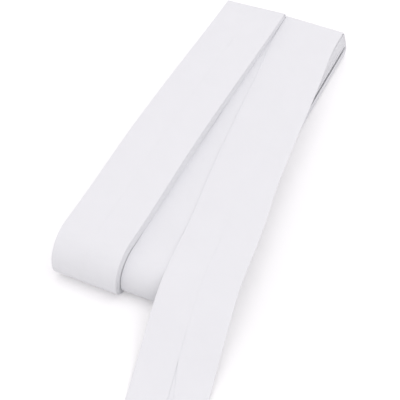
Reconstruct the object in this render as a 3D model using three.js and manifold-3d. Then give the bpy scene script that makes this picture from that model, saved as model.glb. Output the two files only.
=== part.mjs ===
/*
 * Flat wound hank of single-fold bias tape, in millimetres, +Z up.
 *
 * The tape is wound flat in two columns that lie side by side along Y. Each column is a
 * flattened coil: a lower stack, an upper stack, a soft round fold at each end, and a narrow
 * eye between the stacks where the winding card was drawn out. The last turn of the lower
 * column comes over its far fold, runs back along its top, drifts off to the right, and ends
 * past the near fold on the surface that the hank lies on.
 *
 * Origin: the middle of the flat underside, between the columns. X runs across the columns,
 * Y along them from the near end to the far end.
 */
import * as THREE from 'three';
import { mergeVertices } from 'three/addons/utils/BufferGeometryUtils.js';
import Module from 'manifold-3d';

// Driving dimensions
const TAPE_WIDTH = 20;
const TAPE_LAYER = 1.0;
const COLUMN_GAP = 0.5;
const LAYER_CLEARANCE = 0.3;
const EYE_HEIGHT = 1.0;

/*
 * One row for each column.
 * x          middle of the column
 * nearY      outermost point of the near fold, and farY of the far fold
 * nearTop    height of the top face where it meets the near fold, and farTop the far fold
 * crown      how much higher the top stands at crownY, where the turns are loosest
 * nose       height of the outermost point of a fold
 * shoulder   length along Y of the fold above the nose, and toe below it
 * eyeZ       height of the eye, and eyeWall how far its ends stay from the folds
 */
const COLUMN_PITCH = TAPE_WIDTH + COLUMN_GAP;
const COLUMNS = {
  tall: {
    x: -COLUMN_PITCH / 2,
    nearY: -61.2,
    farY: 60.8,
    nearTop: 14.9,
    farTop: 14.8,
    crown: 1.5,
    crownY: -8,
    nose: 5.6,
    shoulder: 9,
    toe: 4.6,
    eyeZ: 5.4,
    eyeWall: 5.4,
  },
  low: {
    x: COLUMN_PITCH / 2,
    nearY: -58.8,
    farY: 61.9,
    nearTop: 11.4,
    farTop: 11.3,
    crown: 0.7,
    crownY: 8,
    nose: 4.4,
    shoulder: 8,
    toe: 3.8,
    eyeZ: 4.3,
    eyeWall: 3.4,
  },
};

// Where the tape passes from one column to the other, in the lowest layers of the hank.
const CROSSOVER = { length: 34, slant: 9, reach: 4, thickness: 1.2 };

/*
 * Plan of the loose end: its middle and its width at each distance along Y. It leaves the
 * column's direction just inside the far fold, and relaxes a little wider towards its cut.
 */
const LOOSE_PLAN = [
  { y: 54, x: 10.25, width: 20.0 },
  { y: 44, x: 11.0, width: 20.0 },
  { y: 0, x: 16.2, width: 20.2 },
  { y: -30, x: 19.6, width: 20.5 },
  { y: -50, x: 21.8, width: 20.9 },
  { y: -60, x: 23.0, width: 21.2 },
  { y: -78, x: 25.6, width: 21.1 },
  { y: -97, x: 29.2, width: 20.8 },
];
const LOOSE_LIFT_OFF_Y = -49;
const LOOSE_TOUCH_DOWN_Y = -88;
const LOOSE_CUT_Y = -97;
const SEAM = { halfWidth: 0.5, depth: 0.3 };

// Number of straight steps in each kind of curve
const STEPS = { fold: 12, top: 24, eyeEnd: 6, drop: 16, rest: 3 };

const COLOURS = {
  hank: { color: 0xedecf1, roughness: 0.92, metalness: 0 },
  looseEnd: { color: 0xeeedf2, roughness: 0.92, metalness: 0 },
};

/** A value from 0 to 1 that starts and ends level. */
function ease(t) {
  return (1 - Math.cos(Math.PI * t)) / 2;
}

/** Height of a column's top face at y, between its two folds. */
function columnTop(column, y) {
  const nearShoulderY = column.nearY + column.shoulder;
  const farShoulderY = column.farY - column.shoulder;
  const beyondCrown = y > column.crownY;
  const shoulderY = beyondCrown ? farShoulderY : nearShoulderY;
  const shoulderTop = beyondCrown ? column.farTop : column.nearTop;
  const t = Math.min(1, (y - column.crownY) / (shoulderY - column.crownY));
  const crownTop = Math.max(column.nearTop, column.farTop) + column.crown;
  return crownTop + (shoulderTop - crownTop) * ease(t);
}

/** Points of a quarter ellipse, from angle a0 to a1, its centre at (y, z). */
function quarterEllipse(y, z, halfLength, halfHeight, a0, a1) {
  const points = [];
  for (let i = 0; i <= STEPS.fold; i++) {
    const a = a0 + ((a1 - a0) * i) / STEPS.fold;
    points.push(new THREE.Vector2(y + halfLength * Math.cos(a), z + halfHeight * Math.sin(a)));
  }
  return points;
}

/** The far fold of a column from its nose up to the top face, grown outwards by a margin. */
function farShoulderArc(column, margin) {
  return quarterEllipse(
    column.farY - column.shoulder,
    column.nose,
    column.shoulder + margin,
    column.farTop - column.nose + margin,
    0,
    Math.PI / 2,
  );
}

/** The outline of a column seen along X, anticlockwise from its underside. */
function columnOutline(column) {
  const { nearY, farY, nearTop, nose, shoulder, toe } = column;
  const top = [];
  const from = farY - shoulder;
  const to = nearY + shoulder;
  for (let i = 1; i < STEPS.top; i++) {
    const y = from + ((to - from) * i) / STEPS.top;
    top.push(new THREE.Vector2(y, columnTop(column, y)));
  }
  return [
    ...quarterEllipse(farY - toe, nose, toe, nose, -Math.PI / 2, 0).slice(0, -1),
    ...farShoulderArc(column, 0),
    ...top,
    ...quarterEllipse(nearY + shoulder, nose, shoulder, nearTop - nose, Math.PI / 2, Math.PI),
    ...quarterEllipse(nearY + toe, nose, toe, nose, Math.PI, (3 * Math.PI) / 2).slice(1),
  ];
}

/** The eye of a column: a flat slot with round ends, seen along X. */
function eyeOutline(column) {
  const r = EYE_HEIGHT / 2;
  const near = column.nearY + column.eyeWall + r;
  const far = column.farY - column.eyeWall - r;
  const points = [];
  for (const [y, start] of [[far, -Math.PI / 2], [near, Math.PI / 2]]) {
    for (let i = 0; i <= STEPS.eyeEnd; i++) {
      const a = start + (Math.PI * i) / STEPS.eyeEnd;
      points.push(new THREE.Vector2(y + r * Math.cos(a), column.eyeZ + r * Math.sin(a)));
    }
  }
  return points;
}

/** One column of the hank: its side outline, with the eye through it, one tape width deep. */
function columnGeometry(column) {
  const side = new THREE.Shape(columnOutline(column));
  side.holes.push(new THREE.Path(eyeOutline(column)));
  const geometry = new THREE.ExtrudeGeometry(side, { depth: TAPE_WIDTH, bevelEnabled: false });
  const alongY = new THREE.Vector3(0, 1, 0);
  const alongZ = new THREE.Vector3(0, 0, 1);
  const alongX = new THREE.Vector3(1, 0, 0);
  geometry.applyMatrix4(new THREE.Matrix4().makeBasis(alongY, alongZ, alongX));
  geometry.translate(column.x - TAPE_WIDTH / 2, 0, 0);
  return geometry;
}

/** The turn that joins the columns: a slanting strip that bridges the gap on the underside. */
function crossoverGeometry() {
  const { length, slant, reach, thickness } = CROSSOVER;
  const half = length / 2;
  const strip = new THREE.Shape([
    new THREE.Vector2(-reach, -half - slant),
    new THREE.Vector2(reach, -half + slant),
    new THREE.Vector2(reach, half + slant),
    new THREE.Vector2(-reach, half - slant),
  ]);
  return new THREE.ExtrudeGeometry(strip, { depth: thickness, bevelEnabled: false });
}

/** Joins closed geometries into one closed geometry. */
function join(wasm, geometries) {
  let joined = null;
  for (const geometry of geometries) {
    geometry.deleteAttribute('normal');
    geometry.deleteAttribute('uv');
    const merged = mergeVertices(geometry);
    const solid = new wasm.Manifold(
      new wasm.Mesh({
        numProp: 3,
        vertProperties: new Float32Array(merged.attributes.position.array),
        triVerts: new Uint32Array(merged.index.array),
      }),
    );
    joined = joined ? joined.add(solid) : solid;
  }
  const { vertProperties, triVerts } = joined.getMesh();
  const result = new THREE.BufferGeometry();
  result.setAttribute('position', new THREE.BufferAttribute(vertProperties, 3));
  result.setIndex(new THREE.BufferAttribute(triVerts, 1));
  result.computeVertexNormals();
  return result;
}

/** The loose end's middle and width at y, smoothly between the rows of its plan. */
function looseEndAt(y) {
  const first = LOOSE_PLAN[0];
  if (y >= first.y) return { x: first.x, width: first.width };
  const next = Math.max(1, LOOSE_PLAN.findIndex((row) => row.y <= y));
  const [a, b] = [LOOSE_PLAN[next - 1], LOOSE_PLAN[next]];
  const before = LOOSE_PLAN[next - 2] ?? { ...a, y: a.y + (a.y - b.y) };
  const after = LOOSE_PLAN[next + 1] ?? { y: 2 * b.y - a.y, x: 2 * b.x - a.x, width: b.width };
  const t = (a.y - y) / (a.y - b.y);
  const at = (key) => {
    const slopeA = ((b[key] - before[key]) / (b.y - before.y)) * (b.y - a.y);
    const slopeB = ((after[key] - a[key]) / (after.y - a.y)) * (b.y - a.y);
    const t2 = t * t;
    const t3 = t2 * t;
    return (
      (2 * t3 - 3 * t2 + 1) * a[key] +
      (t3 - 2 * t2 + t) * slopeA +
      (3 * t2 - 2 * t3) * b[key] +
      (t3 - t2) * slopeB
    );
  };
  return { x: at('x'), width: at('width') };
}

/** The underside of the loose end seen along X: a list of points from the far fold to the cut. */
function looseEndRoute() {
  const { low } = COLUMNS;
  const route = farShoulderArc(low, LAYER_CLEARANCE);
  const topFrom = low.farY - low.shoulder;
  for (let i = 1; i <= STEPS.top; i++) {
    const y = topFrom + ((LOOSE_LIFT_OFF_Y - topFrom) * i) / STEPS.top;
    route.push(new THREE.Vector2(y, columnTop(low, y) + LAYER_CLEARANCE));
  }
  const liftOffZ = columnTop(low, LOOSE_LIFT_OFF_Y) + LAYER_CLEARANCE;
  for (let i = 1; i <= STEPS.drop; i++) {
    const t = i / STEPS.drop;
    const y = LOOSE_LIFT_OFF_Y + (LOOSE_TOUCH_DOWN_Y - LOOSE_LIFT_OFF_Y) * t;
    route.push(new THREE.Vector2(y, liftOffZ * (1 - ease(t))));
  }
  for (let i = 1; i <= STEPS.rest; i++) {
    const y = LOOSE_TOUCH_DOWN_Y + ((LOOSE_CUT_Y - LOOSE_TOUCH_DOWN_Y) * i) / STEPS.rest;
    route.push(new THREE.Vector2(y, 0));
  }
  return route;
}

/** Section of the loose end: flat below, with the seam of its two folded edges above. */
function looseEndSection(width) {
  return [
    { across: -width / 2, up: 0 },
    { across: width / 2, up: 0 },
    { across: width / 2, up: TAPE_LAYER },
    { across: SEAM.halfWidth, up: TAPE_LAYER },
    { across: 0, up: TAPE_LAYER - SEAM.depth },
    { across: -SEAM.halfWidth, up: TAPE_LAYER },
    { across: -width / 2, up: TAPE_LAYER },
  ];
}

/** The loose end: its section carried along the route, square to it in plan and from the side. */
function looseEndGeometry() {
  const route = looseEndRoute();
  const positions = [];
  const last = route.length - 1;
  const sectionSize = looseEndSection(TAPE_WIDTH).length;
  route.forEach((point, i) => {
    const before = route[Math.max(0, i - 1)];
    const after = route[Math.min(last, i + 1)];
    const { x, width } = looseEndAt(point.x);
    const along = new THREE.Vector3(
      looseEndAt(after.x).x - looseEndAt(before.x).x,
      after.x - before.x,
      after.y - before.y,
    ).normalize();
    const across = new THREE.Vector3(-along.y, along.x, 0).normalize();
    const up = new THREE.Vector3().crossVectors(along, across);
    for (const corner of looseEndSection(width)) {
      const place = new THREE.Vector3(x, point.x, point.y)
        .addScaledVector(across, corner.across)
        .addScaledVector(up, corner.up);
      positions.push(place.x, place.y, place.z);
    }
  });

  const index = [];
  for (let i = 0; i < last; i++) {
    for (let j = 0; j < sectionSize; j++) {
      const k = (j + 1) % sectionSize;
      const [a, b] = [i * sectionSize + j, i * sectionSize + k];
      const [c, d] = [a + sectionSize, b + sectionSize];
      index.push(a, b, d, a, d, c);
    }
  }
  const corners = looseEndSection(TAPE_WIDTH).map((p) => new THREE.Vector2(p.across, p.up));
  const endFaces = THREE.ShapeUtils.triangulateShape(corners, []);
  for (const [a, b, c] of endFaces) {
    index.push(c, b, a);
    index.push(last * sectionSize + a, last * sectionSize + b, last * sectionSize + c);
  }

  const geometry = new THREE.BufferGeometry();
  geometry.setAttribute('position', new THREE.Float32BufferAttribute(positions, 3));
  geometry.setIndex(index);
  geometry.computeVertexNormals();
  return geometry;
}

const wasm = await Module();
wasm.setup();

const hank = new THREE.Mesh(
  join(wasm, [
    columnGeometry(COLUMNS.tall),
    columnGeometry(COLUMNS.low),
    crossoverGeometry(),
  ]),
  new THREE.MeshStandardMaterial(COLOURS.hank),
);
hank.name = 'wound_hank';

const looseEnd = new THREE.Mesh(
  looseEndGeometry(),
  new THREE.MeshStandardMaterial(COLOURS.looseEnd),
);
looseEnd.name = 'loose_end';

const biasTape = new THREE.Group();
biasTape.name = 'bias_tape_hank';
biasTape.add(hank, looseEnd);

export default biasTape;
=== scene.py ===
"""Dresses the flat wound hank of bias tape: its turns, its loose end, the cotton and the studio.

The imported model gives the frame. Each length of tape is cloth folded along both edges, with its
two raw edges meeting in a seam along the middle of the outer side, and it is laid turn by turn
between the eye of a column and the outer face of that column.
"""

from __future__ import annotations

import logging
import math
from dataclasses import dataclass, field
from enum import Enum
from random import Random

import bpy
from mathutils import Matrix, Vector


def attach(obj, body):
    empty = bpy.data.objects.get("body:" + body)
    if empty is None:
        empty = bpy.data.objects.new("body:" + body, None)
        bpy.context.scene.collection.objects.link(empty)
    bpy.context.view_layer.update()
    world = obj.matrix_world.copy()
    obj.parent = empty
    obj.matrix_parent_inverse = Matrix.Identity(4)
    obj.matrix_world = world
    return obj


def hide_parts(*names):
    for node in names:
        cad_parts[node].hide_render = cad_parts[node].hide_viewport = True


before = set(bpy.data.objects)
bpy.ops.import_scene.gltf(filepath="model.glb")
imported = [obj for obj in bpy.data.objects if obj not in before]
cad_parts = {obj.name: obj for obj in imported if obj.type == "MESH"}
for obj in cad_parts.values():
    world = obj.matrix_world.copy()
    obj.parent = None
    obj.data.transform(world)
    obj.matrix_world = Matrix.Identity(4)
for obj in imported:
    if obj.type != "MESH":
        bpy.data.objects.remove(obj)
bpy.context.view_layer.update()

LOG = logging.getLogger("bias_tape")
MM = 0.001

ACROSS = Vector((1, 0, 0))
UP = Vector((0, 0, 1))
SMOOTH_BELOW = math.radians(50)


class Held(Enum):
    """How a length of tape is held, in the words of the frame."""

    WOUND = "folded"
    DRAPED = "draped"


class End(Enum):
    """An end of a column, with its way along Y."""

    NEAR = -1
    FAR = 1


class Side(Enum):
    """The side of the hank on which a column lies, with its way along X."""

    LEFT = -1
    RIGHT = 1


def ease(t: float) -> float:
    """A value that rises from 0 to 1 with t, and starts and ends level."""
    return (1 - math.cos(math.pi * min(1.0, max(0.0, t)))) / 2


def smooth_between(rows: list[tuple[float, ...]], at: float) -> list[float]:
    """Reads a short table with rounded steps between its rows.

    Args:
        rows: Rows that start with their place, in falling order, then the values there.
        at: The place to read.

    Returns:
        The values at that place, on a cubic through the rows.
    """
    if at >= rows[0][0]:
        return list(rows[0][1:])
    if at <= rows[-1][0]:
        return list(rows[-1][1:])
    i = next(k for k in range(1, len(rows)) if rows[k][0] <= at)
    low, high = rows[i - 1], rows[i]
    before = rows[i - 2] if i > 1 else low
    after = rows[i + 1] if i + 1 < len(rows) else high
    span = high[0] - low[0]
    t = (at - low[0]) / span
    values = []
    for k in range(1, len(low)):
        start = (high[k] - before[k]) / (high[0] - before[0]) * span
        end = (after[k] - low[k]) / (after[0] - low[0]) * span
        values.append(
            (2 * t**3 - 3 * t**2 + 1) * low[k]
            + (t**3 - 2 * t**2 + t) * start
            + (3 * t**2 - 2 * t**3) * high[k]
            + (t**3 - t**2) * end
        )
    return values


@dataclass(frozen=True)
class Tape:
    """The tape as it is cut and folded.

    Attributes:
        width: Width once both edges are folded in.
        cut_width: Width of the strip before folding.
        ply: Thickness of the cloth.
    """

    width: float = 20 * MM
    cut_width: float = 40 * MM
    ply: float = 0.12 * MM


@dataclass
class Station:
    """One place along a length of tape.

    Attributes:
        origin: Middle of the tape's inner side.
        across: Unit direction across the tape.
        outward: Unit direction from the inner to the outer side.
        height: Thickness of the folded tape there.
        width: Folded width there.
        gap: How far the right raw edge falls short of the left one, which lies in the middle.
        dip: How far the flaps sink towards the seam.
        swell: How far the inner side stands out at the folded edges.
    """

    origin: Vector
    across: Vector
    outward: Vector
    height: float
    width: float
    gap: float = 0.01 * MM
    dip: float = 0.02 * MM
    swell: float = 0.0


@dataclass(frozen=True)
class FoldedSection:
    """The section of a folded tape: flap, bend, face, bend, flap.

    Attributes:
        ply: Thickness of the cloth.
        flap_steps: Straight steps across each flap.
        bend_steps: Straight steps round each folded edge.
        face_steps: Straight steps across the face.
        flap_crowding: Power that crowds a flap's steps towards the seam.
        swell_steps: Straight steps across each swollen edge of the face.
        swell_reach: Length across the tape over which the face swells.
        swell_power: Shape of the swell: more is steeper at the edge.
        bend_depth: Most length of a folded edge across the tape.
        bend_power: Shape of a folded edge: 1 is round and less is squarer.
    """

    ply: float
    flap_steps: int = 5
    bend_steps: int = 6
    face_steps: int = 3
    flap_crowding: float = 1.6
    swell_steps: int = 4
    swell_reach: float = 1.4 * MM
    swell_power: float = 1.5
    bend_depth: float = 0.18 * MM
    bend_power: float = 0.75

    @property
    def steps(self) -> int:
        """Straight steps across the whole cloth."""
        return 2 * (self.flap_steps + self.bend_steps + self.swell_steps) + self.face_steps

    def flap(self, station: Station, edge: float, reach: float) -> list[tuple[float, float]]:
        """Half of the outer side, from the seam to the bend.

        Args:
            station: The place along the tape.
            edge: Distance of the raw edge from the middle.
            reach: Distance from the middle to where the bend begins.

        Returns:
            Points as (distance from the middle, height above the inner side).
        """
        top = station.height - self.ply / 2
        points = []
        for k in range(self.flap_steps):
            t = (k / self.flap_steps) ** self.flap_crowding
            points.append((edge + (reach - edge) * t, top - station.dip * (1 - t) ** 2))
        return points

    def points(self, station: Station) -> list[tuple[float, float]]:
        """The middle of the cloth all the way across.

        Args:
            station: The place along the tape.

        Returns:
            Points as (across, above the inner side), from the left raw edge to the right one.
        """
        half = station.height / 2
        depth = min(half, self.bend_depth)
        reach = station.width / 2 - depth
        bend = []
        for k in range(self.bend_steps + 1):
            a = math.pi / 2 - math.pi * k / self.bend_steps
            out = max(0.0, math.cos(a)) ** self.bend_power
            rise = math.copysign(abs(math.sin(a)) ** self.bend_power, a)
            above = half + (half - self.ply / 2) * rise - station.swell * (1 - rise) / 2
            bend.append((reach + (depth - self.ply / 2) * out, above))
        inner = reach - self.swell_reach
        edge = []
        for k in range(1, self.swell_steps + 1):
            share = 1 - k / self.swell_steps
            above = self.ply / 2 - station.swell * share**self.swell_power
            edge.append((-inner - self.swell_reach * share, above))
        face = list(edge)
        for k in range(1, self.face_steps):
            face.append((-inner + 2 * inner * k / self.face_steps, self.ply / 2))
        face += [(-across, above) for across, above in edge[::-1]]
        right = self.flap(station, station.gap, reach) + bend
        left = self.flap(station, 0.0, reach) + bend
        return [(-across, above) for across, above in left] + face + right[::-1]


class TapePiece:
    """A length of folded tape as one mesh, laid along its stations."""

    def __init__(self, name: str, tape: Tape, section: FoldedSection) -> None:
        """Names the piece.

        Args:
            name: Name of the object.
            tape: The tape's sizes.
            section: The folded section that is carried along.
        """
        self.name = name
        self.tape = tape
        self.section = section
        self.length = 0.0
        self.object: bpy.types.Object | None = None

    def lay(self, stations: list[Station]) -> None:
        """Models the cloth as a grid, folds it along its stations and gives it its thickness.

        Args:
            stations: Places along the tape, in order.
        """
        across, along = self.section.steps, len(stations) - 1
        bpy.ops.object.select_all(action="DESELECT")
        bpy.ops.mesh.primitive_grid_add(x_subdivisions=across, y_subdivisions=along, size=1)
        piece = bpy.context.object
        piece.name = piece.data.name = self.name
        self._fold(piece, stations, across, along)
        self._thicken(piece)
        self.object = piece

    def _fold(
        self, piece: bpy.types.Object, stations: list[Station], across: int, along: int
    ) -> None:
        """Moves each point of the flat grid to its place in the folded tape.

        Args:
            piece: The flat grid.
            stations: Places along the tape, in order.
            across: Steps across the grid.
            along: Steps along the grid.
        """
        places, cloth = [], []
        run = 0.0
        for j, station in enumerate(stations):
            if j:
                run += (station.origin - stations[j - 1].origin).length
            edge = 0.0
            last = None
            for out, above in self.section.points(station):
                if last is not None:
                    edge += math.dist(last, (out, above))
                last = (out, above)
                places.append(station.origin + station.across * out + station.outward * above)
                cloth.append((edge, run))
        self.length = run

        mesh = piece.data
        index = []
        for vertex in mesh.vertices:
            i = round((vertex.co.x + 0.5) * across)
            j = round((vertex.co.y + 0.5) * along)
            index.append(j * (across + 1) + i)
        for vertex, k in zip(mesh.vertices, index):
            vertex.co = places[k]
        layer = mesh.uv_layers[0]
        layer.name = "cloth"
        for loop in mesh.loops:
            layer.data[loop.index].uv = cloth[index[loop.vertex_index]]
        mesh.update()

    def _thicken(self, piece: bpy.types.Object) -> None:
        """Gives the cloth its thickness and smooth shading.

        Args:
            piece: The folded cloth without thickness.
        """
        ply = piece.modifiers.new("ply", "SOLIDIFY")
        ply.thickness = self.tape.ply
        ply.offset = 0.0
        ply.use_quality_normals = True
        bpy.ops.object.modifier_apply(modifier=ply.name)
        bpy.ops.object.shade_smooth_by_angle(angle=SMOOTH_BELOW)


@dataclass(frozen=True)
class FoldShape:
    """The outer face of one end of a column, as seen along X.

    Attributes:
        end: The end of the column that it closes.
        out: Outermost point along Y.
        top: Height at which it meets the top.
        nose: Height of its outermost point.
        shoulder: Length along Y of its rounding above the nose.
        toe: Length along Y of its rounding below the nose.
        lean: How far its top stands back from the nose.
        power: Shape of its rounding above the nose: 1 is an ellipse and less is squarer.
    """

    end: End
    out: float
    top: float
    nose: float
    shoulder: float
    toe: float
    lean: float = 0.0
    power: float = 1.0

    @property
    def way(self) -> int:
        """The way along Y that leads out of the column."""
        return self.end.value

    @property
    def edge(self) -> float:
        """Place where it meets the top."""
        return self.out - self.way * (self.lean + self.shoulder)

    def point(self, angle: float, base: float) -> tuple[float, float]:
        """A point of the outer face.

        Args:
            angle: From -90 degrees at the underside to 90 degrees at the top, in radians.
            base: Height of the underside.

        Returns:
            The point as (y, z).
        """
        rise, reach = math.sin(angle), max(0.0, math.cos(angle))
        if angle <= 0:
            back = self.toe * (1 - reach)
            return self.out - self.way * back, self.nose + (self.nose - base) * rise
        rise, reach = rise**self.power, reach**self.power
        back = self.lean * rise + self.shoulder * (1 - reach)
        return self.out - self.way * back, self.nose + (self.top - self.nose) * rise


@dataclass(frozen=True)
class ColumnShape:
    """The outer face and the eye of one column, as seen along X.

    Attributes:
        x: Middle of the column.
        width: Width of the wound tape, whose folded edges are a little relaxed.
        near: The near fold.
        far: The far fold.
        crown: How much higher the top stands where the turns are loosest.
        crown_y: Place of the crown.
        eye: Height of the eye's middle at the near fold.
        eye_rise: How much higher it is at the far fold.
        eye_half: Half the height of the eye.
        near_wall: Distance from the eye's end to the near fold.
        far_wall: Distance from the eye's end to the far fold.
        skew: Slope along Y, across the tape, with which it turns over the far fold.
        skew_from: Place where the skew begins.
        parting: Shift along X at the near fold, away from the neighbour.
        part_from: Place where the columns begin to part towards the near folds.
        part_over: Length over which they part.
        base: Height of the underside.
    """

    x: float
    width: float
    near: FoldShape
    far: FoldShape
    crown: float
    crown_y: float
    eye: float
    eye_rise: float
    eye_half: float
    near_wall: float
    far_wall: float
    skew: float
    parting: float
    skew_from: float = 15 * MM
    part_from: float = -30 * MM
    part_over: float = 28 * MM
    base: float = 0.33 * MM

    def top(self, y: float) -> float:
        """Height of the top face.

        Args:
            y: Place along the column.

        Returns:
            The height there.
        """
        fold = self.far if y > self.crown_y else self.near
        crown_top = max(self.near.top, self.far.top) + self.crown
        away = (y - self.crown_y) / (fold.edge - self.crown_y)
        return crown_top + (fold.top - crown_top) * ease(away)

    def middle(self, y: float) -> float:
        """Middle of the column along X, which leaves its neighbour towards the near fold."""
        return self.x + self.parting * ease((self.part_from - y) / self.part_over)

    def across(self, y: float) -> Vector:
        """Unit direction across the tape, which turns askew over the far fold."""
        share = ease((y - self.skew_from) / (self.far.out - self.skew_from))
        return Vector((1, self.skew * share, 0)).normalized()

    def fold(self, angle: float, end: End) -> tuple[float, float]:
        """A point of one fold's outer face, as (y, z)."""
        return (self.far if end is End.FAR else self.near).point(angle, self.base)

    def eye_end(self, angle: float, end: End) -> tuple[float, float]:
        """A point of the eye's round end.

        Args:
            angle: From -90 degrees at its bottom to 90 degrees at its top, in radians.
            end: The end of the column.

        Returns:
            The point as (y, z).
        """
        far = end is End.FAR
        fold = self.far if far else self.near
        wall = self.far_wall if far else self.near_wall
        height = self.eye + (self.eye_rise if far else 0.0)
        y = fold.out - fold.way * (wall + self.eye_half * (1 - math.cos(angle)))
        return y, height + self.eye_half * math.sin(angle)


@dataclass(frozen=True)
class Ray:
    """A line from a column's eye to its outer face.

    Attributes:
        inner: Its end at the eye, as (y, z).
        outer: Its end at the outer face, as (y, z).
        slack: How loose the turns lie there, from 0 in a fold to 1 on a flat.
        climb: How far a turn has climbed onto the turn before it, from 0 to 1.
        fullness: How full the folded edges of the first turn are, from 0 to 1.
    """

    inner: tuple[float, float]
    outer: tuple[float, float]
    slack: float = 1.0
    climb: float = 1.0
    fullness: float = 0.0

    def at(self, depth: float) -> Vector:
        """The point at a share of the way from the eye to the outer face, at X = 0."""
        inner, outer = Vector((0, *self.inner)), Vector((0, *self.outer))
        return inner.lerp(outer, depth)


@dataclass(frozen=True)
class TurnSteps:
    """Straight steps in each stretch of one turn."""

    under: int = 12
    fold: int = 20
    top: int = 26


class Winding:
    """How unevenly the turns of one column lie, drawn from its seed."""

    def __init__(self, turns: int, unevenness: float, seed: int) -> None:
        """Draws where each turn lies.

        Args:
            turns: Number of turns.
            unevenness: How much the room of a turn differs on the flats.
            seed: Seed of the draw.
        """
        chance = Random(seed)
        self.turns = turns
        # Each turn has two values, and the outermost turn lies in line with the column.
        self.asides = [chance.uniform(0, 1) for _ in range(2 * turns - 2)] + [0.0] * 4
        shares = [1 + unevenness * chance.uniform(-1, 1) for _ in range(turns)]
        self.levels = [sum(shares[:n]) / sum(shares) for n in range(turns + 1)]

    def depth(self, turn: int, slack: float) -> float:
        """Share of the way from the eye to the outer face at which a turn begins."""
        even = turn / self.turns
        return even + (self.levels[turn] - even) * slack

    def aside(self, run: float) -> float:
        """How far aside the tape lies.

        Args:
            run: Turns from the eye to the place.

        Returns:
            A share of the sway, from 0 to 1.
        """
        knot, part = divmod(2 * run, 1)
        before, after = self.asides[int(knot)], self.asides[int(knot) + 1]
        return before + (after - before) * ease(part)


@dataclass
class WoundColumn:
    """One column: a tape wound from the eye outwards.

    Attributes:
        name: Name of the object.
        shape: The column's outer face and eye.
        turns: Number of turns.
        tape: The tape's sizes.
        seed: Seed of the turns' unevenness.
        side: The side of the hank on which it lies.
        steps: Steps in each stretch of a turn.
        sway: How far a turn may lie from the column's middle, away from the neighbour.
        unevenness: How much the room of a turn differs on the flats.
        thickest: Thickness of the tape where it lies loosest.
        pressed: Most thickness of the outermost turn.
        start: Share of the first underside that has no tape yet.
        climb_from: Share of an underside after which a turn climbs onto the one before it.
        climb_over: Share of an underside over which it climbs.
        swell: Most swell of the first turn at its folded edges.
        tail: Stations that follow the last turn.
    """

    name: str
    shape: ColumnShape
    turns: int
    tape: Tape
    seed: int
    side: Side
    steps: TurnSteps = field(default_factory=TurnSteps)
    sway: float = 0.09 * MM
    unevenness: float = 0.2
    thickest: float = 0.75 * MM
    pressed: float = 0.34 * MM
    start: float = 0.5
    climb_from: float = 0.15
    climb_over: float = 0.3
    swell: float = 0.0
    tail: list[Station] = field(default_factory=list)

    def rays(self) -> list[Ray]:
        """Places one turn's lines from the eye to the outer face.

        Returns:
            The lines in order, from the near underside round the far fold and back.
        """
        shape, steps = self.shape, self.steps
        half = math.pi / 2
        eye_near, eye_far = shape.eye_end(-half, End.NEAR), shape.eye_end(-half, End.FAR)
        out_near, out_far = shape.fold(-half, End.NEAR), shape.fold(-half, End.FAR)
        rays = []
        for k in range(steps.under):
            t = k / steps.under
            inner = tuple(a + (b - a) * t for a, b in zip(eye_near, eye_far))
            outer = tuple(a + (b - a) * t for a, b in zip(out_near, out_far))
            climb = ease((t - self.climb_from) / self.climb_over)
            rays.append(Ray(inner, outer, climb=climb, fullness=1.0))
        for k in range(steps.fold):
            a = -half + math.pi * k / steps.fold
            inner, outer = shape.eye_end(a, End.FAR), shape.fold(a, End.FAR)
            rays.append(Ray(inner, outer, slack=abs(math.sin(a)), fullness=max(0.0, -math.sin(a))))
        eye_near, eye_far = shape.eye_end(half, End.NEAR), shape.eye_end(half, End.FAR)
        for k in range(steps.top):
            t = k / steps.top
            inner = tuple(a + (b - a) * t for a, b in zip(eye_far, eye_near))
            y = shape.far.edge + (shape.near.edge - shape.far.edge) * t
            rays.append(Ray(inner, (y, shape.top(y))))
        for k in range(steps.fold):
            a = half - math.pi * k / steps.fold
            inner, outer = shape.eye_end(a, End.NEAR), shape.fold(a, End.NEAR)
            rays.append(Ray(inner, outer, slack=abs(math.sin(a))))
        return rays

    def stations(self) -> list[Station]:
        """Lays out the whole wound tape.

        Returns:
            Places along it, from the eye to the outer face, and then its tail.
        """
        rays = self.rays()
        winding = Winding(self.turns, self.unevenness, self.seed)
        places = []
        for turn in range(self.turns):
            for k in range(len(rays)):
                if turn or k >= self.start * self.steps.under:
                    places.append(self._station(winding, rays, turn, k))
        return places + self.tail

    def _station(self, winding: Winding, rays: list[Ray], turn: int, k: int) -> Station:
        """Lays the tape on one line of one turn.

        Args:
            winding: How the turns lie.
            rays: The lines of a turn.
            turn: The turn, counted from 0 at the eye.
            k: The line's place in the turn.

        Returns:
            The place along the tape.
        """
        ray, ahead, behind = rays[k], rays[(k + 1) % len(rays)], rays[k - 1]
        level = winding.depth(turn, ray.slack)
        after = ahead.at(winding.depth(turn, ahead.slack))
        before = behind.at(winding.depth(turn, behind.slack))
        across = self.shape.across(ray.at(level).y)
        outward = (after - before).cross(across).normalized()
        room = (ray.at(winding.depth(turn + 1, ray.slack)) - ray.at(level)).dot(outward)
        outermost = turn == self.turns - 1
        height = min(self.pressed if outermost else self.thickest, room)
        # A turn climbs from the level of the one before it, and lies close under the next one.
        below = winding.depth(max(0, turn - 1), ray.slack)
        origin = ray.at(below + (level - below) * ray.climb) + outward * (room - height)
        aside = self.side.value * self.sway * winding.aside(turn + k / len(rays))
        origin.x = self.shape.middle(origin.y) + aside
        swell = 0.0 if turn else self.swell * ray.fullness
        return Station(origin, across, outward, height, self.shape.width, swell=swell)

    def build(self) -> TapePiece:
        """Models the wound tape.

        Returns:
            The laid tape, with its length.
        """
        piece = TapePiece(self.name, self.tape, FoldedSection(self.tape.ply))
        piece.lay(self.stations())
        return piece


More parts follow.
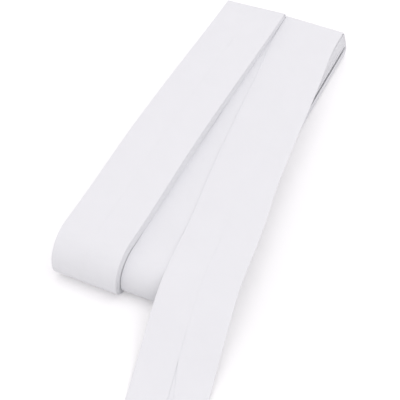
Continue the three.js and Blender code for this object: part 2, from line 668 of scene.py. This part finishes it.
@dataclass
class LooseEnd:
    """The last turn of the lower column, off its far fold and down to the surface.

    Attributes:
        shape: The lower column, which it lies on.
        tape: The tape's sizes.
        name: Name of the object.
        clearance: Distance to the turn below.
        lift_off: Where it leaves the top of the column.
        touch_down: Where it meets the surface.
        cut: Where it ends.
        plan: Rows of place, middle and width, in millimetres.
        seam: Rows of place, gap, dip and thickness, in millimetres.
        fold_steps: Straight steps round the far fold.
        top_steps: Straight steps along the top.
        drop_steps: Straight steps down to the surface.
        rest_steps: Straight steps along the surface.
    """

    shape: ColumnShape
    tape: Tape
    name: str = "loose_tape"
    clearance: float = 0.01 * MM
    lift_off: float = -49 * MM
    touch_down: float = -88 * MM
    cut: float = -97 * MM
    plan: tuple[tuple[float, float, float], ...] = (
        (54, 10.05, 20.2),
        (44, 10.75, 20.1),
        (27, 12.95, 20.1),
        (1, 15.6, 20.1),
        (-16, 17.5, 20.2),
        (-31, 19.75, 20.5),
        (-50, 21.8, 20.9),
        (-60, 23.0, 21.2),
        (-78, 25.6, 21.1),
        (-97, 29.2, 20.8),
    )
    seam: tuple[tuple[float, float, float, float], ...] = (
        (54, 0.0, 0.02, 0.28),
        (-28, 0.0, 0.02, 0.28),
        (-38, 0.0, 0.14, 0.44),
        (-46, 0.0, 0.24, 0.54),
        (-54, 0.0, 0.18, 0.52),
        (-60, 0.0, 0.12, 0.48),
        (-69, 0.02, 0.16, 0.50),
        (-74, 0.10, 0.28, 0.58),
        (-80, 1.10, 0.42, 0.70),
        (-86, 1.80, 0.48, 0.78),
        (-97, 2.00, 0.48, 0.78),
    )
    fold_steps: int = 32
    top_steps: int = 60
    drop_steps: int = 44
    rest_steps: int = 8

    def route(self) -> list[tuple[float, float]]:
        """Follows the inner side of the tape, as seen along X.

        Returns:
            Points as (y, z), from the far underside to the cut.
        """
        shape = self.shape
        points = []
        half = math.pi / 2
        for k in range(self.fold_steps):
            a = -half + math.pi * k / self.fold_steps
            y, z = shape.fold(a, End.FAR)
            points.append((y + self.clearance * math.cos(a), z + self.clearance * math.sin(a)))
        start = shape.far.edge
        for k in range(self.top_steps):
            y = start + (self.lift_off - start) * k / self.top_steps
            points.append((y, shape.top(y) + self.clearance))
        lift = shape.top(self.lift_off) + self.clearance
        for k in range(self.drop_steps):
            t = k / self.drop_steps
            y = self.lift_off + (self.touch_down - self.lift_off) * t
            points.append((y, lift * (1 - ease(t))))
        for k in range(self.rest_steps + 1):
            y = self.touch_down + (self.cut - self.touch_down) * k / self.rest_steps
            points.append((y, 0.0))
        return points

    def stations(self) -> list[Station]:
        """Lays out the loose end.

        Returns:
            Places along it, from the far underside to the cut.
        """
        plan = [tuple(v * MM for v in row) for row in self.plan]
        seam = [tuple(v * MM for v in row) for row in self.seam]
        route = self.route()
        last = len(route) - 1
        middles = []
        for y, z in route:
            x, width = smooth_between(plan, y)
            middles.append((Vector((x, y, z)), width))
        places = []
        for k, (middle, width) in enumerate(middles):
            along = middles[min(last, k + 1)][0] - middles[max(0, k - 1)][0]
            flat = Vector((-along.y, along.x, 0))
            # Below the far fold's outermost point the tape still runs towards the fold.
            on_far_underside = k < last / 2 and along.y > 0
            across = -flat.normalized() if on_far_underside else flat.normalized()
            across = (across + self.shape.across(middle.y) - ACROSS).normalized()
            gap, dip, height = smooth_between(seam, middle.y)
            places.append(
                Station(
                    origin=middle,
                    across=across,
                    outward=along.cross(across).normalized(),
                    height=height,
                    width=width,
                    gap=gap,
                    dip=dip,
                )
            )
        return places

    def build(self) -> TapePiece:
        """Models the loose end.

        Returns:
            The laid tape, with its length.
        """
        section = FoldedSection(
            self.tape.ply, flap_steps=12, bend_steps=8, face_steps=6, bend_power=0.6
        )
        piece = TapePiece(self.name, self.tape, section)
        piece.lay(self.stations())
        return piece


class NodeGraph:
    """Small helper that adds and links nodes in one tree."""

    def __init__(self, tree: bpy.types.NodeTree) -> None:
        """Keeps the node tree to add to."""
        self.tree = tree

    def add(self, kind: str, values: dict | None = None, **settings: object) -> bpy.types.Node:
        """Adds a node.

        Args:
            kind: The node's type name.
            values: Values of its input sockets.
            **settings: Properties of the node.

        Returns:
            The node.
        """
        node = self.tree.nodes.new(kind)
        for key, value in settings.items():
            setattr(node, key, value)
        for key, value in (values or {}).items():
            node.inputs[key].default_value = value
        return node

    def link(self, source: bpy.types.NodeSocket, target: bpy.types.NodeSocket) -> None:
        """Links two sockets."""
        self.tree.links.new(source, target)

    def math(self, operation: str, a: object, b: object = None) -> bpy.types.NodeSocket:
        """Adds a Math node whose inputs are sockets or numbers.

        Args:
            operation: The operation's name.
            a: First input.
            b: Second input, if any.

        Returns:
            The result's socket.
        """
        node = self.add("ShaderNodeMath", operation=operation)
        for place, value in enumerate((a, b)):
            if isinstance(value, bpy.types.NodeSocket):
                self.link(value, node.inputs[place])
            elif value is not None:
                node.inputs[place].default_value = value
        return node.outputs[0]


@dataclass(frozen=True)
class BiasWeave:
    """Plain weave whose threads run aslant the tape, as in cloth cut on the bias, with shade
    painted into the hollows between the threads.

    Attributes:
        slant: Angle between the threads and the tape, in degrees.
        roundness: Share of the threads' height that is their own roundness.
        crimp: Share of it by which one thread rises over the other.
        slub: Share of it that is the threads' unevenness.
        slub_scale: Scale of that unevenness.
        painted_shade_power: How widely a thread stays pale against the shade painted between
            threads: less is wider.
    """

    slant: float = 45
    roundness: float = 0.7
    crimp: float = 0.3
    slub: float = 0.35
    slub_scale: float = 900.0
    painted_shade_power: float = 0.5

    def group(self) -> bpy.types.NodeTree:
        """Builds the shared node group.

        Returns:
            A group that takes the cloth's own map and a thread pitch, and gives the threads'
            height and a tone that is lower between them.
        """
        tree = bpy.data.node_groups.new("bias_weave", "ShaderNodeTree")
        tree.interface.new_socket("Cloth", in_out="INPUT", socket_type="NodeSocketVector")
        tree.interface.new_socket("Thread Pitch", in_out="INPUT", socket_type="NodeSocketFloat")
        tree.interface.new_socket("Height", in_out="OUTPUT", socket_type="NodeSocketFloat")
        tree.interface.new_socket("Painted Shade Mix", in_out="OUTPUT", socket_type="NodeSocketFloat")
        graph = NodeGraph(tree)
        inputs = graph.add("NodeGroupInput")
        outputs = graph.add("NodeGroupOutput")
        turn = graph.add("ShaderNodeVectorRotate", rotation_type="Z_AXIS")
        turn.inputs["Angle"].default_value = math.radians(self.slant)
        graph.link(inputs.outputs["Cloth"], turn.inputs["Vector"])
        grain = {"Scale": self.slub_scale, "Detail": 2.0, "Roughness": 0.6}
        slub = graph.add("ShaderNodeTexNoise", grain)
        graph.link(turn.outputs[0], slub.inputs["Vector"])
        parts = graph.add("ShaderNodeSeparateXYZ")
        graph.link(turn.outputs[0], parts.inputs[0])

        waves = []
        for axis in ("X", "Y"):
            turns = graph.math("DIVIDE", parts.outputs[axis], inputs.outputs["Thread Pitch"])
            waves.append(graph.math("SINE", graph.math("MULTIPLY", turns, math.pi)))
        over = graph.math("SIGN", graph.math("MULTIPLY", waves[0], waves[1]))
        warp = graph.math("ABSOLUTE", waves[0])
        weft = graph.math("ABSOLUTE", waves[1])
        raised = graph.math("MULTIPLY", over, graph.math("SUBTRACT", warp, weft))
        body = graph.math("MULTIPLY", graph.math("MAXIMUM", warp, weft), self.roundness)
        height = graph.math("ADD", body, graph.math("MULTIPLY", raised, self.crimp))
        uneven = graph.math("MULTIPLY", slub.outputs[0], self.slub)
        graph.link(graph.math("ADD", height, uneven), outputs.inputs["Height"])
        # The second output is lower in the hollows between threads: painted shade, where the
        # material mixes in its darker colour.
        graph.link(graph.math("POWER", body, self.painted_shade_power), outputs.inputs["Painted Shade Mix"])
        return tree


@dataclass(frozen=True)
class CottonFinish:
    """Matt white cotton poplin.

    Attributes:
        name: Name of the slot that it finishes.
        color: Colour of the cloth.
        shade: Darker colour painted into the hollows between the threads as shade, which the
            random mottle also reaches.
        roughness: Roughness of the cloth.
        specular: Level of its plain reflection.
        sheen: Weight of the fibres' sheen.
        sheen_roughness: Roughness of that sheen.
        pitch: Distance between threads.
        relief: Height of the threads.
        relief_strength: How strongly their height turns the light.
        painted_shade_share: Part that the shade painted between the threads has in the mix of both
            colours.
        mottle_share: Part that the mottle has in it.
        mottle_scale: Scale of the mottle.
        glow: Share of the light that goes into the cloth and out again elsewhere.
        glow_depth: How far that light goes.
    """

    name: str
    color: tuple[float, float, float] = (0.783, 0.788, 0.81)
    shade: tuple[float, float, float] = (0.718, 0.723, 0.743)
    roughness: float = 0.9
    specular: float = 0.2
    sheen: float = 0.1
    sheen_roughness: float = 0.6
    pitch: float = 0.34 * MM
    relief: float = 0.03 * MM
    relief_strength: float = 0.35
    painted_shade_share: float = 0.8
    mottle_share: float = 0.4
    mottle_scale: float = 110.0
    glow: float = 0.2
    glow_depth: float = 0.3 * MM

    def material(self, weave: bpy.types.NodeTree) -> bpy.types.Material:
        """Builds the material.

        Args:
            weave: The weave's node group.

        Returns:
            The material.
        """
        material = bpy.data.materials.new(f"{self.name}_cotton")
        material.use_nodes = True
        graph = NodeGraph(material.node_tree)
        shader = material.node_tree.nodes["Principled BSDF"]
        shader.inputs["Roughness"].default_value = self.roughness
        shader.inputs["Sheen Weight"].default_value = self.sheen
        shader.inputs["Sheen Roughness"].default_value = self.sheen_roughness
        shader.inputs["Specular IOR Level"].default_value = self.specular
        shader.inputs["Subsurface Weight"].default_value = self.glow
        shader.inputs["Subsurface Radius"].default_value = (1.0, 1.0, 1.0)
        shader.inputs["Subsurface Scale"].default_value = self.glow_depth
        cloth = graph.add("ShaderNodeUVMap", uv_map="cloth")
        threads = graph.add("ShaderNodeGroup", node_tree=weave)
        threads.inputs["Thread Pitch"].default_value = self.pitch
        graph.link(cloth.outputs[0], threads.inputs["Cloth"])
        mottle = graph.add("ShaderNodeTexNoise", {"Scale": self.mottle_scale, "Detail": 3.0})
        place = graph.add("ShaderNodeTexCoord")
        graph.link(place.outputs["Object"], mottle.inputs["Vector"])
        # Painted shade: the hollows between the threads get the darker colour, and the random
        # mottle moves the cloth between both colours.
        mix = graph.add("ShaderNodeMix", data_type="RGBA")
        mix.inputs["A"].default_value = (*self.shade, 1)
        mix.inputs["B"].default_value = (*self.color, 1)
        painted_thread_shade = graph.math("MULTIPLY", threads.outputs["Painted Shade Mix"], self.painted_shade_share)
        cloud = graph.math("MULTIPLY", mottle.outputs[0], self.mottle_share)
        graph.link(graph.math("ADD", painted_thread_shade, cloud), mix.inputs["Factor"])
        graph.link(mix.outputs["Result"], shader.inputs["Base Color"])
        relief = {"Strength": self.relief_strength, "Distance": self.relief}
        bump = graph.add("ShaderNodeBump", relief)
        graph.link(threads.outputs["Height"], bump.inputs["Height"])
        graph.link(bump.outputs[0], shader.inputs["Normal"])
        return material


@dataclass(frozen=True)
class PhotoCamera:
    """The camera at the photo's place, worked out from the hank's edges.

    Attributes:
        lens: Focal length, in millimetres.
        sensor: Width of the sensor, in millimetres.
        azimuth: Turn about Z, in degrees, 0 looking along +Y.
        elevation: Angle above the surface, in degrees.
        roll: Turn about the view axis, in degrees.
        target: Point of the surface in the middle of the picture.
        distance: From the target to the camera.
        nearest: Nearest distance that it sees.
    """

    lens: float = 98.814
    sensor: float = 36
    azimuth: float = 27.16
    elevation: float = 47.62
    roll: float = -2.19
    target: tuple[float, float, float] = (4.2 * MM, -17.3 * MM, 0.0)
    distance: float = 327.54 * MM
    nearest: float = 10 * MM

    def place(self) -> None:
        """Adds the camera to the scene."""
        azimuth, elevation = math.radians(self.azimuth), math.radians(self.elevation)
        back = Vector(
            (
                math.sin(azimuth) * math.cos(elevation),
                -math.cos(azimuth) * math.cos(elevation),
                math.sin(elevation),
            )
        )
        side = (-back).cross(UP).normalized()
        top = side.cross(-back)
        turn = Matrix((side, top, back)).transposed().to_4x4()
        roll = Matrix.Rotation(math.radians(self.roll), 4, "Z")
        eye = Vector(self.target) + back * self.distance
        bpy.ops.object.camera_add()
        camera = bpy.context.object
        camera.name = "photo_camera"
        camera.matrix_world = Matrix.Translation(eye) @ turn @ roll
        camera.data.sensor_fit = "HORIZONTAL"
        camera.data.sensor_width = self.sensor
        camera.data.lens = self.lens
        camera.data.clip_start = self.nearest
        bpy.context.scene.camera = camera


@dataclass(frozen=True)
class SoftLight:
    """A square studio light.

    Attributes:
        name: Name of the light.
        place: Where it stands.
        size: Length of its side.
        power: Power in watts.
    """

    name: str
    place: tuple[float, float, float]
    size: float
    power: float

    def hang(self) -> None:
        """Adds the light, turned to the hank."""
        bpy.ops.object.light_add(type="AREA", location=self.place)
        light = bpy.context.object
        light.name = self.name
        light.data.size = self.size
        light.data.energy = self.power
        light.rotation_euler = Vector(self.place).to_track_quat("Z", "Y").to_euler()


@dataclass(frozen=True)
class Studio:
    """The pale floor, the white surround, the lights and the camera.

    Attributes:
        floor_size: Length of the floor's side.
        floor_color: Colour of the floor.
        floor_lift: How much lighter the floor is seen than the light that it throws back.
        surround: Strength of the even light from all round.
        surround_color: Colour of that light.
        lights: The soft lights.
    """

    floor_size: float = 6.0
    floor_color: tuple[float, float, float] = (0.80, 0.80, 0.80)
    floor_lift: float = 0.22
    surround: float = 0.87
    surround_color: tuple[float, float, float] = (1.0, 0.975, 1.0)
    lights: tuple[SoftLight, ...] = (
        SoftLight("overhead", place=(0.29, 0.07, 1.5), size=1.4, power=7.0),
        SoftLight("front_fill", place=(0.35, -1.1, 0.45), size=0.8, power=1.1),
    )

    def build(self) -> None:
        """Sets up the studio."""
        self._floor()
        self._surround()
        for light in self.lights:
            light.hang()
        PhotoCamera().place()
        bpy.context.scene.view_settings.view_transform = "Standard"

    def _floor(self) -> None:
        """Adds the floor, which is seen a little lighter than it lights the hank."""
        bpy.ops.object.select_all(action="DESELECT")
        bpy.ops.mesh.primitive_plane_add(size=self.floor_size)
        floor = bpy.context.object
        floor.name = "floor"
        material = bpy.data.materials.new("floor_paint")
        material.use_nodes = True
        graph = NodeGraph(material.node_tree)
        shader = material.node_tree.nodes["Principled BSDF"]
        shader.inputs["Base Color"].default_value = (*self.floor_color, 1)
        shader.inputs["Roughness"].default_value = 1.0
        shader.inputs["Specular IOR Level"].default_value = 0.0
        shader.inputs["Emission Strength"].default_value = self.floor_lift
        light_path = graph.add("ShaderNodeLightPath")
        seen = graph.add("ShaderNodeMix", data_type="RGBA")
        seen.inputs["A"].default_value = (0, 0, 0, 1)
        seen.inputs["B"].default_value = (*self.surround_color, 1)
        graph.link(light_path.outputs["Is Camera Ray"], seen.inputs["Factor"])
        graph.link(seen.outputs["Result"], shader.inputs["Emission Color"])
        floor.data.materials.append(material)

    def _surround(self) -> None:
        """Lights the scene evenly from all round."""
        world = bpy.data.worlds.new("surround")
        world.use_nodes = True
        background = world.node_tree.nodes["Background"]
        background.inputs["Color"].default_value = (*self.surround_color, 1)
        background.inputs["Strength"].default_value = self.surround
        bpy.context.scene.world = world


@dataclass
class Hank:
    """The whole hank: two wound columns and the loose end.

    Attributes:
        tape: The tape's sizes.
        tall: Shape of the left column.
        low: Shape of the right column.
        tall_turns: Turns of the left column.
        low_turns: Turns of the right column.
        crossing_height: Thickness of the tape where it crosses under the hank.
        crossing_drop: How far it drops there from the left column.
        crossing_drop_over: Share of the crossing over which it drops.
        crossing_from: Share of the crossing after which it moves across.
        crossing_over: Share of the crossing over which it moves across.
        crossing_steps: Straight steps along it.
    """

    tape: Tape = field(default_factory=Tape)
    tall: ColumnShape = ColumnShape(
        x=-10.1 * MM,
        width=20.2 * MM,
        near=FoldShape(
            End.NEAR,
            out=-61.2 * MM,
            top=14.9 * MM,
            nose=5.6 * MM,
            shoulder=9.6 * MM,
            toe=4.6 * MM,
        ),
        far=FoldShape(
            End.FAR,
            out=60.9 * MM,
            top=14.8 * MM,
            nose=4.6 * MM,
            shoulder=2.0 * MM,
            toe=3.6 * MM,
            lean=2.6 * MM,
            power=0.7,
        ),
        crown=1.5 * MM,
        crown_y=-8 * MM,
        eye=5.4 * MM,
        eye_rise=0.0,
        eye_half=0.6 * MM,
        near_wall=5.4 * MM,
        far_wall=5.2 * MM,
        skew=0.045,
        parting=-0.1 * MM,
    )
    low: ColumnShape = ColumnShape(
        x=9.98 * MM,
        width=20.5 * MM,
        near=FoldShape(
            End.NEAR,
            out=-58.8 * MM,
            top=11.7 * MM,
            nose=4.4 * MM,
            shoulder=8.0 * MM,
            toe=3.8 * MM,
        ),
        far=FoldShape(
            End.FAR,
            out=63.6 * MM,
            top=12.2 * MM,
            nose=2.8 * MM,
            shoulder=2.0 * MM,
            toe=2.2 * MM,
            lean=3.4 * MM,
            power=0.7,
        ),
        crown=0.6 * MM,
        crown_y=8 * MM,
        eye=3.45 * MM,
        eye_rise=0.3 * MM,
        eye_half=1.4 * MM,
        near_wall=3.4 * MM,
        far_wall=2.0 * MM,
        skew=-0.03,
        parting=0.28 * MM,
    )
    tall_turns: int = 14
    low_turns: int = 7
    crossing_height: float = 0.28 * MM
    crossing_drop: float = 0.36 * MM
    crossing_drop_over: float = 0.14
    crossing_from: float = 0.12
    crossing_over: float = 0.76
    crossing_steps: int = 26

    def crossing(self) -> list[Station]:
        """Lays out the tape's way under the hank.

        Returns:
            Places along it, from the tall column's near fold to the low column's far fold.
        """
        height, steps = self.crossing_height, self.crossing_steps
        start = self.tall.near.out + self.tall.near.toe
        end = self.low.far.out - self.low.far.toe
        places = []
        for k in range(steps + 1):
            t = k / steps
            moved = ease((t - self.crossing_from) / self.crossing_over)
            x = self.tall.x + (self.low.x - self.tall.x) * moved
            z = height + self.crossing_drop * (1 - ease(t / self.crossing_drop_over))
            places.append(Vector((x, start + (end - start) * t, z)))
        stations = []
        for k, place in enumerate(places):
            along = places[min(steps, k + 1)] - places[max(0, k - 1)]
            across = Vector((along.y, -along.x, 0)).normalized()
            stations.append(Station(place, across, -UP, height, width=self.tape.width))
        return stations

    def build(self, finishes: dict[str, bpy.types.Material]) -> None:
        """Models, dresses and declares every piece.

        Args:
            finishes: Materials by the name of their slot.
        """
        tall = WoundColumn(
            "tall_turns",
            self.tall,
            self.tall_turns,
            self.tape,
            seed=3,
            side=Side.LEFT,
            tail=self.crossing(),
        )
        low = WoundColumn(
            "low_turns",
            self.low,
            self.low_turns,
            self.tape,
            seed=8,
            side=Side.RIGHT,
            sway=0.4 * MM,
            swell=0.6 * MM,
        )
        for column in (tall, low):
            wound = column.build()
            self._declare(wound, "wound_hank", "wound_tape", finishes)
        loose = LooseEnd(self.low, self.tape).build()
        self._declare(loose, "loose_end", "loose_tape", finishes)

    def _declare(
        self,
        piece: TapePiece,
        node: str,
        slot: str,
        finishes: dict[str, bpy.types.Material],
    ) -> None:
        """Gives a piece its finish and tells the frame what it is.

        Args:
            piece: The laid tape.
            node: The solid that it stands for.
            slot: The record's slot that its finish belongs to.
            finishes: Materials by the name of their slot.
        """
        made = piece.object
        made.data.materials.append(finishes[slot])
        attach(made, "root")
        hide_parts(node)
        LOG.info("%s: %.0f mm of tape", made.name, piece.length / MM)


def cotton_finishes() -> dict[str, bpy.types.Material]:
    """Builds the finish of each slot.

    Returns:
        Materials by the name of their slot.
    """
    weave = BiasWeave().group()
    slots = ("wound_tape", "loose_tape")
    return {slot: CottonFinish(slot).material(weave) for slot in slots}


def main() -> None:
    """Builds the studio and the hank."""
    logging.basicConfig(level=logging.INFO, format="%(name)s: %(message)s")
    Studio().build()
    Hank().build(cotton_finishes())


if __name__ == "__main__":
    main()
